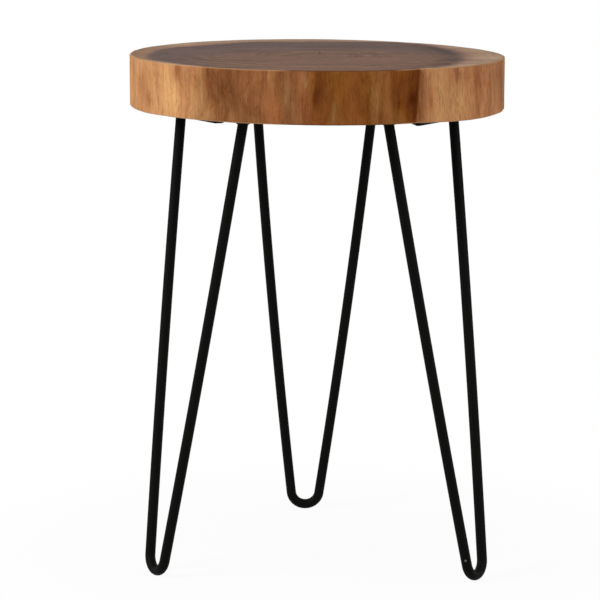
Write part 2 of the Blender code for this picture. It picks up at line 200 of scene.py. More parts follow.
# A streak's direction, its width to the left and to the right and its lean are in degrees, its middle and
# its reach in slab heights. Then come its tone, dark below zero, and its blush, olive below zero.
STREAKS = (
    (5, 2.0, 4.0, 1.0, 0.30, 0.60, 0.30, 0.0),
    (17, 1.2, 1.8, -0.8, 0.60, 0.50, -0.35, 0.5),
    (28, 4.0, 3.0, 0.0, 0.50, 0.90, 0.35, 0.1),
    (41, 1.0, 2.2, 1.2, 0.35, 0.50, -0.45, 0.2),
    (52, 5.0, 4.0, 0.0, 0.55, 0.80, -0.35, -0.3),
    (60, 0.8, 1.0, -1.0, 0.50, 0.60, 0.30, 0.0),
    (71, 3.0, 2.0, 0.5, 0.70, 0.40, 0.30, 0.4),
    (83, 1.4, 0.9, 1.5, 0.40, 0.50, -0.40, 0.5),
    (96, 4.0, 5.0, 0.0, 0.50, 0.90, 0.30, 0.1),
    (109, 1.0, 1.6, -0.6, 0.55, 0.50, -0.40, 0.3),
    (121, 4.0, 3.0, 0.5, 0.40, 0.70, -0.30, -0.3),
    (131, 0.8, 1.2, 0.8, 0.65, 0.40, 0.30, 0.0),
    (143, 2.5, 3.5, 0.0, 0.45, 0.80, -0.20, 0.5),
    (156, 3.0, 3.0, -0.5, 0.60, 0.70, 0.35, 0.0),
    (168, 1.2, 0.8, 1.0, 0.35, 0.50, -0.35, 0.4),
    (179, 2.0, 2.0, 0.0, 0.70, 0.40, -0.20, 0.2),
    (190, 2.5, 2.5, 0.0, 0.50, 0.90, -0.20, 0.1),
    (190, 4.0, 5.0, 0.0, 0.14, 0.24, 0.22, -0.8),
    (192, 4.0, 4.0, 0.0, 0.90, 0.24, 0.20, -0.8),
    (196.5, 1.6, 1.6, 0.5, 0.15, 0.20, 0.35, -0.2),
    (201, 3.0, 3.0, 0.0, 0.45, 0.30, -0.30, 0.3),
    (205.5, 2.2, 1.6, 1.0, 0.72, 0.20, -0.30, 0.6),
    (210.8, 0.5, 0.5, 0.8, 0.30, 0.28, -0.40, 0.5),
    (216, 4.0, 5.0, 0.0, 0.60, 0.60, 0.50, 0.0),
    (219.5, 1.6, 2.2, 0.5, 0.68, 0.35, 0.38, 0.0),
    (220.8, 1.8, 2.4, -1.0, 0.08, 0.22, -0.50, 0.5),
    (225.5, 2.5, 2.5, 0.0, 0.72, 0.30, 0.12, 0.3),
    (226.5, 3.0, 3.0, 0.0, 0.20, 0.30, -0.18, 0.3),
    (228.5, 2.5, 2.5, 0.0, 0.50, 0.25, 0.25, -0.2),
    (232, 1.0, 2.4, 0.0, 0.35, 0.40, 0.24, 0.0),
    (231, 2.6, 2.2, 0.0, 0.80, 0.32, 0.24, -0.6),
    (235, 2.0, 2.0, 0.0, 0.85, 0.25, 0.20, 0.0),
    (236, 2.0, 2.0, 0.0, 0.30, 0.35, -0.30, 0.0),
    (240, 3.0, 3.6, -0.5, 0.42, 0.42, -0.48, -0.1),
    (243.6, 0.9, 1.4, 3.0, 0.45, 0.45, -0.40, -0.1),
    (243, 1.8, 1.8, 0.0, 0.92, 0.20, 0.12, -0.2),
    (245, 3.0, 3.0, 1.5, 0.85, 0.25, 0.12, -0.2),
    (246.2, 1.8, 1.8, 0.0, 0.50, 0.60, -0.14, 0.0),
    (247.2, 0.6, 0.9, 1.5, 0.28, 0.30, 0.06, 0.0),
    (249.0, 0.9, 1.2, 1.5, 0.40, 0.35, -0.10, 0.3),
    (254.5, 3.0, 3.0, 0.0, 0.25, 0.40, 0.02, 0.3),
    (255.4, 0.7, 0.7, 0.0, 0.06, 0.12, 0.16, 0.0),
    (255.5, 3.2, 2.6, 0.0, 0.45, 0.80, 0.07, 0.1),
    (257, 3.5, 2.5, 0.5, 0.80, 0.35, 0.06, 0.9),
    (260.6, 0.8, 1.0, -0.6, 0.55, 0.50, 0.06, -0.6),
    (263, 0.5, 0.5, -0.6, 0.65, 0.40, 0.08, -0.6),
    (264.2, 1.4, 1.2, 0.0, 0.50, 0.25, -0.14, 0.0),
    (265, 1.8, 1.6, -0.5, 0.35, 0.50, 0.12, 0.4),
    (266.3, 0.9, 1.2, 0.0, 0.16, 0.20, 0.20, -0.2),
    (267, 1.2, 1.0, 0.0, 0.75, 0.35, -0.10, 0.1),
    (268.9, 0.25, 2.4, -1.6, 0.40, 0.42, -0.72, 0.1),
    (271.5, 2.0, 3.0, -0.5, 0.50, 0.60, -0.36, 0.1),
    (275, 0.7, 1.1, -1.0, 0.85, 0.30, 0.20, -0.6),
    (279.8, 1.8, 1.6, 0.0, 0.25, 0.50, -0.20, 0.3),
    (281.2, 0.5, 0.7, 0.0, 0.65, 0.22, -0.22, 0.2),
    (282, 2.0, 3.0, 0.0, 0.50, 0.70, -0.02, 0.1),
    (284.2, 0.7, 0.6, 0.0, 0.62, 0.25, -0.18, 0.0),
    (286.0, 0.8, 0.9, 0.0, 0.55, 0.50, 0.16, -0.1),
    (287.5, 0.7, 0.8, -0.6, 0.45, 0.75, 0.24, 0.3),
    (290.6, 1.5, 1.3, 0.0, 0.60, 0.80, 0.12, 0.6),
    (293.4, 1.3, 0.9, 0.6, 0.38, 0.18, -0.50, 0.3),
    (294.0, 0.5, 0.4, 0.6, 0.62, 0.10, -0.60, 0.0),
    (295.4, 1.4, 1.4, 0.0, 0.22, 0.35, -0.26, 0.1),
    (294, 2.5, 2.5, 0.0, 0.92, 0.20, 0.14, 0.0),
    (297.6, 0.9, 0.9, -0.6, 0.30, 0.40, -0.25, 0.0),
    (298.5, 1.7, 1.5, -0.6, 0.56, 0.20, -0.95, 0.1),
    (299.0, 1.6, 1.0, -0.6, 0.10, 0.25, -0.50, 0.1),
    # Painted shade: this dark row runs down the left flank of the fold and leans with it.
    (300.2, 0.8, 0.5, -1.3, 0.40, 0.70, -0.70, 0.0),
    (299.2, 0.6, 0.7, -0.6, 0.90, 0.18, -0.60, 0.0),
    (301.4, 0.4, 1.3, -1.1, 0.60, 1.20, -0.46, 0.6),
    (304.4, 0.6, 0.6, -0.5, 0.60, 0.20, -0.55, 0.6),
    (307, 3.0, 3.0, 0.0, 0.55, 1.00, 0.52, 0.2),
    (310.5, 0.35, 0.35, 0.0, 0.12, 0.30, -0.25, 0.5),
    (313.2, 0.9, 1.0, 0.6, 0.12, 0.24, -0.40, 0.8),
    (312.5, 3.0, 3.0, 0.0, 0.70, 0.45, 0.50, 0.2),
    (314.6, 1.0, 1.2, 0.0, 0.55, 0.50, 0.32, 0.2),
    (316.8, 1.2, 1.4, 0.0, 0.16, 0.26, -0.10, 0.6),
    (318, 2.0, 2.5, 0.0, 0.65, 0.60, 0.30, 0.2),
    (320.8, 0.5, 0.5, 0.3, 0.55, 0.40, -0.35, 0.3),
    (322.5, 3.0, 2.5, 0.0, 0.15, 0.40, -0.24, 0.5),
    (325.5, 3.0, 3.0, 0.5, 0.50, 0.90, 0.00, 0.3),
    (329, 1.6, 1.6, 0.0, 0.55, 0.80, -0.30, 0.3),
    (331.8, 0.8, 0.8, 0.0, 0.40, 0.60, -0.35, 0.1),
    (335, 2.0, 2.5, 0.0, 0.20, 0.40, -0.32, 0.1),
    (340, 3.0, 4.0, 0.5, 0.45, 0.60, -0.58, 0.2),
    (346, 3.0, 3.0, 0.0, 0.85, 0.35, 0.12, -1.0),
    (352, 5.0, 2.0, 0.0, 0.75, 0.55, -0.12, -1.0),
)
print(len(SAPWOOD), "widths of sapwood and", len(STREAKS), "streaks")

# %% Read the two lists
def sapwood_width(direction):
    """Width of the sapwood in metres, drawn straight from one listed direction to the next."""
    corners, widths = np.array(SAPWOOD, float).T
    corners = np.concatenate((corners - 360, corners, corners + 360))
    return np.interp(direction, corners, np.tile(widths, 3)) * MM


def streak_marks(direction, drop):
    """How pale or dark, and how red or olive, the side is at a place."""
    tone, blush = 0 * direction, 0 * direction
    for centre, left, right, lean, middle, reach, strength, redness in STREAKS:
        across = turned(direction, centre + lean * (drop - 0.5))
        across = across / np.where(across < 0, left, right)
        here = np.exp(-(across**2) - ((drop - middle) / reach) ** 2)
        tone = tone + strength * here
        blush = blush + redness * here
    return tone, blush


print("sapwood", round(sapwood_width(np.array([0.0]))[0] / MM), "mm wide on the right")

# %% [markdown]
# Now the slab itself. Its profile runs from the pith across the top, over the eased arris, down the
# side, round the lower arris and back to the middle of the underside. Each step of that profile is one
# ring of points, so the whole skin is a grid closed by a single point at either end. One check, the
# short crack that opens from the pith as a trunk dries, is a real groove: one column is sunk, and the
# points beside it are drawn up to its lips.

# %% One ring of points
STREAK_DEPTH = 4 * MM  # how far the streaks reach in from the side


def ring_at(share, inset, drop, level, end_grain):
    """One ring of points, with what the wood is like there. share is the way from the pith to the rim."""
    radius = rim_radius(directions, drop) + swell(directions, drop) - inset
    around = np.radians(directions)
    rim = np.stack((radius * np.cos(around), radius * np.sin(around)), 1)
    depth = (1 - share) * np.linalg.norm(rim - PITH, axis=1) + inset
    tone, blush = streak_marks(directions, drop)
    near_bark = np.exp(-depth / STREAK_DEPTH)
    traits = {
        "growth": 0 * radius + share,
        "bark_depth": depth,
        "sapwood": sapwood_width(directions + FLUTE_LEAN * drop),
        "streak": tone * near_bark,
        "blush": blush * near_bark,
        "end_grain": 0 * radius + end_grain,
    }
    return np.column_stack((PITH + share * (rim - PITH), 0 * radius + level)), traits


print("streaks fade within", STREAK_DEPTH / MM, "mm of the bark")

# %% Lay out the rings of the slab
rings = [(share, TOP_ARRIS, 0.0, TABLE_HEIGHT, 1.0) for share in np.linspace(0, 1, TOP_RINGS + 1)[1:]]
for step in range(1, ARRIS_ROWS + 1):
    bend = math.pi / 2 * step / ARRIS_ROWS
    inset, down = TOP_ARRIS * (1 - math.sin(bend)), TOP_ARRIS * (1 - math.cos(bend))
    rings.append((1, inset, 0.0, TABLE_HEIGHT - down, math.cos(bend) ** 4))
side_height = SLAB_THICKNESS - TOP_ARRIS - BOTTOM_ARRIS
for step in range(1, SIDE_ROWS):
    drop = step / SIDE_ROWS
    rings.append((1, 0.0, drop, TABLE_HEIGHT - TOP_ARRIS - side_height * drop, 0.0))
for step in range(ARRIS_ROWS + 1):
    bend = math.pi / 2 * step / ARRIS_ROWS
    inset, up = BOTTOM_ARRIS * (1 - math.cos(bend)), BOTTOM_ARRIS * (1 - math.sin(bend))
    rings.append((1, inset, 1.0, SLAB_UNDERSIDE + up, math.sin(bend)))
for share in np.linspace(1, 0, UNDER_RINGS + 1)[1:-1]:
    rings.append((share, BOTTOM_ARRIS, 1.0, SLAB_UNDERSIDE, 1.0))
print(len(rings), "rings of", COLUMNS, "points")

# %% Place the points and open the check
CHECK_COLUMN = COLUMNS // 4  # towards the back
CHECK_FROM, CHECK_TO = 0.10, 0.27  # as a share of the way from the pith to the rim
CHECK_DEPTH, CHECK_HALF_WIDTH = 0.0030, 0.0006
AT_PITH = {
    "growth": 0, "bark_depth": SLAB_RADIUS, "sapwood": 20 * MM, "streak": 0, "blush": 0, "end_grain": 1,
}
points, marks = [], {name: [] for name in AT_PITH}
for ring in rings:
    places, traits = ring_at(*ring)
    share, level = ring[0], ring[3]
    if level == TABLE_HEIGHT and CHECK_FROM < share < CHECK_TO:
        opening = math.sin(math.pi * (share - CHECK_FROM) / (CHECK_TO - CHECK_FROM))
        places[CHECK_COLUMN, 2] -= CHECK_DEPTH * opening
        for beside in (CHECK_COLUMN - 1, CHECK_COLUMN + 1):
            away = places[beside, :2] - places[CHECK_COLUMN, :2]
            away = away / np.linalg.norm(away) * CHECK_HALF_WIDTH * opening
            places[beside, :2] = places[CHECK_COLUMN, :2] + away
    points.append(places)
    for name in marks:
        marks[name].append(traits[name])
points = np.concatenate((*points, [(*PITH, TABLE_HEIGHT), (*PITH, SLAB_UNDERSIDE)]))
print(len(points), "points, each with", ", ".join(marks))

# %% Build the slab's skin
here = np.arange(COLUMNS)
after = (here + 1) % COLUMNS
faces = []
for row in range(len(rings) - 1):
    upper, lower = row * COLUMNS, (row + 1) * COLUMNS
    faces += np.stack((upper + here, lower + here, lower + after, upper + after), 1).tolist()
top_pole, under_pole = len(points) - 2, len(points) - 1
last = (len(rings) - 1) * COLUMNS
faces += [[top_pole, a, b] for a, b in zip(here.tolist(), after.tolist())]
faces += [[under_pole, last + b, last + a] for a, b in zip(here.tolist(), after.tolist())]
slab_mesh = new_mesh("trunk_slice", points.tolist(), faces=faces)
for name, values in marks.items():
    layer = slab_mesh.attributes.new(name, "FLOAT", "POINT")
    layer.data.foreach_set("value", np.concatenate((*values, [AT_PITH[name]] * 2)).astype(np.float32))
slab_mesh.shade_smooth()
trunk_slice = put("trunk_slice", slab_mesh)
shape = bmesh.new()
shape.from_mesh(slab_mesh)
print("slab volume", round(shape.calc_volume(signed=True) * 1e6), "cm3, box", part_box("top_slab"))
shape.free()

# %% [markdown]
# The wood is an oiled hardwood, sanded fine and left open-pored: the oil makes its colours deep and warm,
# and it has a low sheen and no glossy film. The cut faces are end grain: grey-brown heart, tan sapwood,
# faint growth rings, and the strokes of a belt sander across them. The side is long grain that was once
# under the bark: streaked from top to bottom, with red and golden specks and open pores. Two materials
# would meet in a hard line at the arris, so one does both, and the attribute end_grain says which of the
# two a point shows. All its noises stand in one table. They lie on Object coordinates, and are squeezed
# along the trunk, or across it along the belt, where the mark is a long one.

# %% Wood: what the grain gives the eye
SMOOTH = {"interpolation_type": "SMOOTHSTEP"}  # for a Map Range node with soft ends
BLEND = {"out": 2, "data_type": "RGBA"}  # for a Mix node that mixes colours
GRAIN_WAVE, GRAIN_SWING = 30, 16 * MM  # the streaks swing from side to side as they run
wood, tree, shader = new_finish("oiled_hardwood_trunk")
place = add(tree, "ShaderNodeTexCoord", out="Object")
to_right = add(tree, "ShaderNodeSeparateXYZ", {"Vector": place}, out="X")
mark = {name: add(tree, "ShaderNodeAttribute", out="Fac", attribute_name=name) for name in AT_PITH}
swing = add(
    tree, "ShaderNodeTexNoise", {"Vector": place, "Scale": per_mm(GRAIN_WAVE), "Detail": 2}, out="Color",
)
swing = add(tree, "ShaderNodeVectorMath", {0: swing, 1: (0.5, 0.5, 0.5)}, operation="SUBTRACT")
bent = add(
    tree, "ShaderNodeVectorMath", {0: swing, 1: (GRAIN_SWING,) * 3, 2: place}, operation="MULTIPLY_ADD",
)
GRAIN = {  # what it follows, width in millimetres, squeeze in x, y and z, detail and roughness of the noise
    "streaks": (bent, 9, (1, 1, 0.30), 5, 0.64),
    "patches": (bent, 34, (1, 1, 0.50), 3, 0.50),
    "specks": (bent, 6, (1, 1, 0.36), 4, 0.65),
    "side_pores": (bent, 1.3, (1, 1, 0.15), 2, 0.50),  # finer on real wood; as coarse as it needs to show
    "fibres": (place, 1.8, (1, 1, 0.07), 3, 0.60),  # the same goes for these
    "sanding": (place, 18, (0.16, 1, 1), 5, 0.65),
    "wander": (place, 28, None, 3, 0.50),
    "wave": (place, 70, None, 1, 0.50),
    "mottle": (place, 14, None, 4, 0.60),
    "clearness": (place, 40, None, 3, 0.50),
    "end_pores": (place, 1.4, None, 2, 0.50),
    "flecks": (place, 6, None, 4, 0.70),
}
grain = {}
for name, (path, width, squeeze, detail, roughness) in GRAIN.items():
    if squeeze:
        path = add(tree, "ShaderNodeMapping", {"Vector": path, "Scale": squeeze})
    looks = {"Vector": path, "Scale": per_mm(width), "Detail": detail, "Roughness": roughness}
    grain[name] = add(tree, "ShaderNodeTexNoise", looks)
print("wood:", len(mark), "attributes and", len(grain), "noises:", ", ".join(grain))

# %% [markdown]
# The border between sapwood and heart could be drawn as a line. Here it is a sum: the depth of a point
# below the bark, less the width of the sapwood there, and some noise that lets it wander. So it cuts
# through the top and down the side as one surface, as it does in a trunk. On the side it frays along the
# streaks as well. On the right it is softer, and a dark band lies just inside it.

# %% Wood: heart and sapwood
BORDER_WANDER, BORDER_WIDTH, BAND_END = 8 * MM, 6 * MM, 34 * MM
loose = add(tree, "ShaderNodeMath", {0: grain["wander"], 1: 0.5}, operation="SUBTRACT")
frayed = add(tree, "ShaderNodeMath", {0: grain["streaks"], 1: 0.5}, operation="SUBTRACT")
inside = add(tree, "ShaderNodeMath", {0: mark["bark_depth"], 1: mark["sapwood"]}, operation="SUBTRACT")
inside = add(tree, "ShaderNodeMath", {0: loose, 1: BORDER_WANDER, 2: inside}, operation="MULTIPLY_ADD")
inside_side = add(tree, "ShaderNodeMath", {0: frayed, 1: BORDER_WANDER, 2: inside}, operation="MULTIPLY_ADD")
border_start = add(
    tree, "ShaderNodeMapRange",
    {"Value": to_right, "From Min": 20 * MM, "From Max": 110 * MM, "To Min": -4 * MM, "To Max": -13 * MM},
)
heart = add(
    tree, "ShaderNodeMapRange",
    {"Value": inside, "From Min": border_start, "From Max": BORDER_WIDTH}, **SMOOTH,
)
heart_side = add(
    tree, "ShaderNodeMapRange",
    {"Value": inside_side, "From Min": -BORDER_WIDTH, "From Max": BORDER_WIDTH}, **SMOOTH,
)
band = add(
    tree, "ShaderNodeMapRange",
    {"Value": inside, "From Min": BORDER_WIDTH, "From Max": BAND_END, "To Min": 1.0, "To Max": 0.0}, **SMOOTH,
)
sap_depth = add(
    tree, "ShaderNodeMath", {0: mark["bark_depth"], 1: mark["sapwood"]}, operation="DIVIDE", use_clamp=True,
)
print("heart border", 2 * BORDER_WIDTH / MM, "mm wide, dark band to", BAND_END / MM, "mm inside it")

# %% [markdown]
# A year's growth is pale at first and ends in a dark line. A Wave texture would draw perfect circles, so
# the years are counted along the attribute growth instead, and noise shifts the count here and there.
# The fraction of the count is the season. Years differ, and sanding has left the rings clear in some
# places and faint in others.

# %% Wood: growth rings on the cut faces
RINGS = 60  # one about every 3 mm
RING_SHIFTS = {"wave": 11.0, "wander": 0.8, "mottle": 0.35}  # by how many years a noise shifts the count
YEARS_ALIKE = 0.28  # a run of about four years is alike
LATE_DEPTH = 0.75  # how far the dark line goes towards its own colour
years = add(tree, "ShaderNodeMath", {0: mark["growth"], 1: RINGS}, operation="MULTIPLY")
for name, shift in RING_SHIFTS.items():
    years = add(tree, "ShaderNodeMath", {0: grain[name], 1: shift, 2: years}, operation="MULTIPLY_ADD")
season = add(tree, "ShaderNodeMath", {0: years}, operation="FRACT")
late_share = add(tree, "ShaderNodeMapRange", {"Value": season, "From Min": 0.30, "From Max": 0.95}, **SMOOTH)
good_years = add(
    tree, "ShaderNodeTexNoise", {"W": years, "Scale": YEARS_ALIKE, "Detail": 3}, noise_dimensions="1D",
)
good_years = add(
    tree, "ShaderNodeMapRange", {"Value": good_years, "From Min": 0.35, "From Max": 0.65}, **SMOOTH,
)
clear_rings = add(
    tree, "ShaderNodeMapRange",
    {"Value": grain["clearness"], "From Min": 0.40, "From Max": 0.62, "To Min": 0.15, "To Max": 1.0},
    **SMOOTH,
)
good_years = add(tree, "ShaderNodeMix", {0: clear_rings, 2: 0.5, 3: good_years}, data_type="FLOAT")
for factor in (good_years, clear_rings, LATE_DEPTH):
    late_share = add(tree, "ShaderNodeMath", {0: late_share, 1: factor}, operation="MULTIPLY")
print("rings:", RINGS, "years, shifted by", ", ".join(RING_SHIFTS))

# %% [markdown]
# The colours lie over each other like stains: each has a share, from 0 to 1, of how much of it a point
# takes. Most shares read one thing, a noise or how far to the right a point lies, and rise between two
# limits. A table holds those limits, so that a stain can be moved or weakened in one place.

# %% Wood: shares of the stains
# Away from this spot the heart is painted greyer: a painted sheen, the room mirrored at a grazing angle on
# the top.
WARM_SPOT, WARM_WANDER = (12 * MM, -75 * MM, TABLE_HEIGHT), 60 * MM  # the heart is brown here, greyer away
# Painted shade on the front arris about here; the rest of the arris has a painted highlight.
ARRIS_SHADE_MIDDLE = 23 * MM  # about here the front arris is dark
from_spot = add(tree, "ShaderNodeVectorMath", {0: place, 1: WARM_SPOT}, out="Value", operation="DISTANCE")
from_spot = add(tree, "ShaderNodeMath", {0: loose, 1: WARM_WANDER, 2: from_spot}, operation="MULTIPLY_ADD")
from_arris_shade = add(tree, "ShaderNodeMath", {0: to_right, 1: ARRIS_SHADE_MIDDLE}, operation="SUBTRACT")
from_arris_shade = add(tree, "ShaderNodeMath", {0: from_arris_shade}, operation="ABSOLUTE")
SHARES = {  # what is read, two limits between which the share changes, the share at each, kind of step
    # painted sheen: the heart greys away from the warm spot
    "weathered": (from_spot, 90 * MM, 165 * MM, 0.0, 1.0, "SMOOTHSTEP"),
    "right_band": (to_right, 40 * MM, 120 * MM, 0.10, 0.75, "LINEAR"),
    "blotch": (grain["mottle"], 0.35, 0.62, 0.25, 1.0, "LINEAR"),
    "inner_sap": (sap_depth, 0.2, 0.9, 0.0, 1.0, "SMOOTHSTEP"),
    "left_edge": (to_right, -145 * MM, -180 * MM, 0.0, 0.9, "LINEAR"),
    "fleck": (grain["flecks"], 0.25, 0.75, 0.78, 1.22, "LINEAR"),
    "stroke": (grain["sanding"], 0.25, 0.75, 0.68, 1.32, "LINEAR"),
    "spread": (grain["streaks"], 0.3, 0.7, 0.0, 1.0, "SMOOTHSTEP"),
    "rosy": (to_right, 85 * MM, 100 * MM, 0.0, 1.0, "SMOOTHSTEP"),
    "amber": (to_right, -16 * MM, 2 * MM, 0.0, 1.0, "SMOOTHSTEP"),
    "deep": (to_right, 60 * MM, 80 * MM, 0.0, 1.0, "SMOOTHSTEP"),
    "red_patch": (grain["patches"], 0.5, 0.8, 0.0, 0.4, "LINEAR"),
    "red_speck": (grain["specks"], 0.52, 0.72, 0.0, 0.75, "LINEAR"),
    "gold_speck": (grain["specks"], 0.48, 0.28, 0.0, 0.75, "LINEAR"),
    "fibre": (grain["fibres"], 0.48, 0.75, 0.0, 0.38, "LINEAR"),
    "pore": (grain["side_pores"], 0.56, 0.72, 0.0, 0.8, "LINEAR"),
    # painted highlight on the arris, away from the painted shade in the middle of the front
    "pale_arris": (from_arris_shade, 44 * MM, 60 * MM, 0.0, 1.0, "SMOOTHSTEP"),
}
shares = {}
for name, (value, start, end, low, high, step) in SHARES.items():
    limits = {"Value": value, "From Min": start, "From Max": end, "To Min": low, "To Max": high}
    shares[name] = add(tree, "ShaderNodeMapRange", limits, interpolation_type=step)
print("stains:", ", ".join(shares))

# %% Wood: colours of the cut faces
END_HEART, END_HEART_PALE, END_HEART_SHEEN = colour("#6F5343"), colour("#846554"), colour("#68544E")
END_HEART_DARK, BORDER_DARK = colour("#413028"), colour("#40302A")
END_SAP, END_SAP_INNER, END_SAP_DARK = colour("#B4967C"), colour("#A5836E"), colour("#8A6852")
for factor in (shares["right_band"], shares["blotch"]):
    band = add(tree, "ShaderNodeMath", {0: band, 1: factor}, operation="MULTIPLY")
end_heart, end_sap = END_HEART_PALE, END_SAP
for share, stain in (
    (good_years, END_HEART),
    (shares["weathered"], END_HEART_SHEEN),
    (late_share, END_HEART_DARK),
    (band, BORDER_DARK),
):
    end_heart = add(tree, "ShaderNodeMix", {0: share, 6: end_heart, 7: stain}, **BLEND)
for share, stain in (
    (shares["inner_sap"], END_SAP_INNER),
    (late_share, END_SAP_DARK),
    (shares["left_edge"], END_SAP_DARK),
):
    end_sap = add(tree, "ShaderNodeMix", {0: share, 6: end_sap, 7: stain}, **BLEND)
end_colour = add(tree, "ShaderNodeMix", {0: heart, 6: end_sap, 7: end_heart}, **BLEND)
brightness = add(tree, "ShaderNodeMath", {0: shares["fleck"], 1: shares["stroke"]}, operation="MULTIPLY")
end_colour = add(tree, "ShaderNodeVectorMath", {0: end_colour, "Scale": brightness}, operation="SCALE")
print("end grain: heart, sapwood and rings, under the strokes of the sander")

# %% Wood: colours of the side
SIDE_SAP, SIDE_SAP_DARK = colour("#C18E60"), colour("#B27F54")
SIDE_HEART, SIDE_HEART_DARK = colour("#8D5D38"), colour("#754625")
STREAK_PALE, STREAK_DARK = colour("#DDA96F"), colour("#4A1A02")
RED_TINT, OLIVE_TINT = colour("#9C5A35"), colour("#8C6946")
# The rest are no colours, but what is kept of the red, green and blue of the wood under them.
ROSY_SAP = (1.06, 0.98, 1.0, 1.0)  # the sapwood is a little redder on the right
AMBER_HEART = (1.0, 0.90, 0.45, 1.0)  # the heart turns amber right of the middle
AMBER_DEEP = (0.95, 0.80, 0.40, 1.0)  # and once more beside the fold
RED_SPECK, GOLD_SPECK = (0.98, 0.76, 0.56, 1.0), (1.22, 1.20, 1.08, 1.0)
PORE_SHADE = (0.62, 0.54, 0.46, 1.0)  # open pores hold a little shade
side_sap = add(tree, "ShaderNodeMix", {0: shares["spread"], 6: SIDE_SAP, 7: SIDE_SAP_DARK}, **BLEND)
side_sap = add(
    tree, "ShaderNodeMix", {0: shares["rosy"], 6: side_sap, 7: ROSY_SAP}, **BLEND, blend_type="MULTIPLY",
)
side_heart = add(tree, "ShaderNodeMix", {0: shares["spread"], 6: SIDE_HEART, 7: SIDE_HEART_DARK}, **BLEND)
side_colour = add(tree, "ShaderNodeMix", {0: heart_side, 6: side_sap, 7: side_heart}, **BLEND)
print("side: sapwood and heart")

# %% Wood: stain the side
for name in ("amber", "deep"):
    shares[name] = add(tree, "ShaderNodeMath", {0: shares[name], 1: heart_side}, operation="MULTIPLY")
for name, source, strength, more in (
    ("red", "blush", 0.6, shares["red_patch"]),
    ("olive", "blush", -0.7, 0.0),
    ("pale", "streak", 0.85, 0.0),
    ("dark", "streak", -0.9, 0.0),
):
    sum_of = {0: mark[source], 1: strength, 2: more}
    shares[name] = add(tree, "ShaderNodeMath", sum_of, operation="MULTIPLY_ADD", use_clamp=True)
for name, stain, blend in (
    ("amber", AMBER_HEART, "MULTIPLY"),
    ("deep", AMBER_DEEP, "MULTIPLY"),
    ("red", RED_TINT, "MIX"),
    ("olive", OLIVE_TINT, "MIX"),
    ("red_speck", RED_SPECK, "MULTIPLY"),
    ("gold_speck", GOLD_SPECK, "MULTIPLY"),
    ("pale", STREAK_PALE, "MIX"),
    ("dark", STREAK_DARK, "MIX"),
    ("fibre", STREAK_DARK, "MIX"),
    ("pore", PORE_SHADE, "MULTIPLY"),
):
    layer = {0: shares[name], 6: side_colour, 7: stain}
    side_colour = add(tree, "ShaderNodeMix", layer, **BLEND, blend_type=blend)
print("side: amber heart, streaks, specks, fibres and pores")

# %% Wood: the eased arris
# The arris is painted: a pale painted highlight all round, and painted shade in the middle of the front.
ARRIS_HIGHLIGHT, ARRIS_SHADE = colour("#BE926A"), colour("#42200E")
ARRIS_STRENGTH = 2.4  # the arris is where end grain turns to long grain, so where the two shares meet
end = mark["end_grain"]
eased = add(tree, "ShaderNodeMath", {0: 1.0, 1: end}, operation="SUBTRACT")
eased = add(tree, "ShaderNodeMath", {0: end, 1: eased}, operation="MULTIPLY")
eased = add(tree, "ShaderNodeMath", {0: eased, 1: ARRIS_STRENGTH}, operation="MULTIPLY", use_clamp=True)
arris_light_colour = add(tree, "ShaderNodeMix", {0: shares["pale_arris"], 6: ARRIS_SHADE, 7: ARRIS_HIGHLIGHT}, **BLEND)
wood_colour = add(tree, "ShaderNodeMix", {0: end, 6: side_colour, 7: end_colour}, **BLEND)
wood_colour = add(tree, "ShaderNodeMix", {0: eased, 6: wood_colour, 7: arris_light_colour}, **BLEND)
# The pale arris is a painted highlight, and the dark middle of the front arris is painted shade.
print("arris: sanded pale, and burnt dark in the middle of the front")

# %% Wood: sheen and relief
side_relief = add(tree, "ShaderNodeBump", {"Height": grain["fibres"], "Strength": 0.5, "Distance": 0.25 * MM})
end_relief = add(
    tree, "ShaderNodeBump", {"Height": grain["end_pores"], "Strength": 0.3, "Distance": 0.12 * MM},
)
relief = add(tree, "ShaderNodeMix", {0: end, 4: side_relief, 5: end_relief}, out=1, data_type="VECTOR")
gloss = add(tree, "ShaderNodeMapRange", {"Value": grain["end_pores"], "To Min": 0.62, "To Max": 0.76})
feed(tree, shader, {"Base Color": wood_colour, "Normal": relief, "Roughness": gloss, "IOR": 1.5})
shader.inputs["Specular IOR Level"].default_value = 0.04  # the oil sinks in, so hardly a mirror is left
trunk_slice.data.materials.append(wood)
print("wood finish on", trunk_slice.name, "with", len(tree.nodes), "nodes")

# %% [markdown]
# The legs are steel, blasted and powder coated in black, which leaves an even skin with a fine orange
# peel. To the eye it is a paint and no metal, so metallic stays at zero: a black that swallows nearly
# all light, with a broad dull sheen down each rod. A dark metal would mirror the room instead. One
# small grey spot sits on the near arm of the right foot.

# %% Powder coat
GREY_SPOT = (0.1451, -0.1181, 0.0238)  # on the near arm of the right foot
GREY_SPOT_FROM, GREY_SPOT_TO, GREY_SPOT_RAGGED = 1.5 * MM, 1.9 * MM, 1.2 * MM
COAT_BLACK, COAT_PALER, SPOT_GREY = colour("#070706"), colour("#0C0C0A"), colour("#6A6A68")
PEEL_SIZE, CLOUD_SIZE = 1.1, 24  # in millimetres: the orange peel, and the slow change of tone


